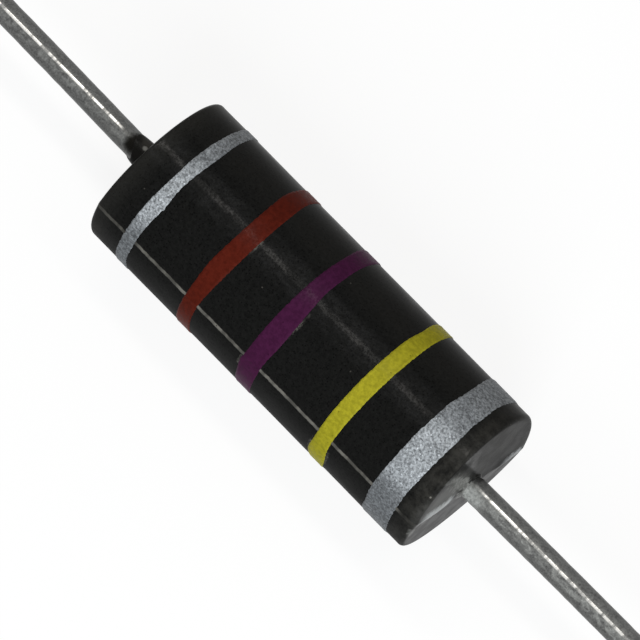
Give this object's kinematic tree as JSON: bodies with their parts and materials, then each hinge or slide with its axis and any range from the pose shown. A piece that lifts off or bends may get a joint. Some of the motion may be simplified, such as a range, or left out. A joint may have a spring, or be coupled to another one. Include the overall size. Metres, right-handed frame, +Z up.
{
  "type": "axial inductor",
  "caption": "Axial inductor: a black moulded resin cylinder with painted colour bands and a straight tinned wire lead from each end, for through-hole boards.",
  "frame": {"origin": "centre of the moulded body, on the axis of the leads", "axes": "+X along the leads, out of the end with the wide silver band; +Z up as the part lies"},
  "size_m": [0.0874, 0.0058, 0.0058],
  "materials": {
    "moulding_resin": "semi-gloss black moulding resin",
    "ferrite": "dull sintered ferrite",
    "enamelled_copper": "clear enamel over copper wire",
    "tinned_wire": "dull hot-dipped tin over copper wire",
    "solder": "bright solder",
    "silver_paint": "metal-flake silver paint",
    "yellow_paint": "semi-gloss paint",
    "violet_paint": "semi-gloss paint",
    "red_paint": "semi-gloss paint"
  },
  "bodies": {
    "root": {"moulded_body": "moulding_resin", "ferrite_core": "ferrite", "winding": "enamelled_copper", "lead_wide_end": "tinned_wire", "lead_narrow_end": "tinned_wire", "solder_wide_end": "solder", "solder_narrow_end": "solder", "band_wide_silver": "silver_paint", "band_yellow": "yellow_paint", "band_violet": "violet_paint", "band_red": "red_paint", "band_narrow_silver": "silver_paint"}
  },
  "joints": []
}
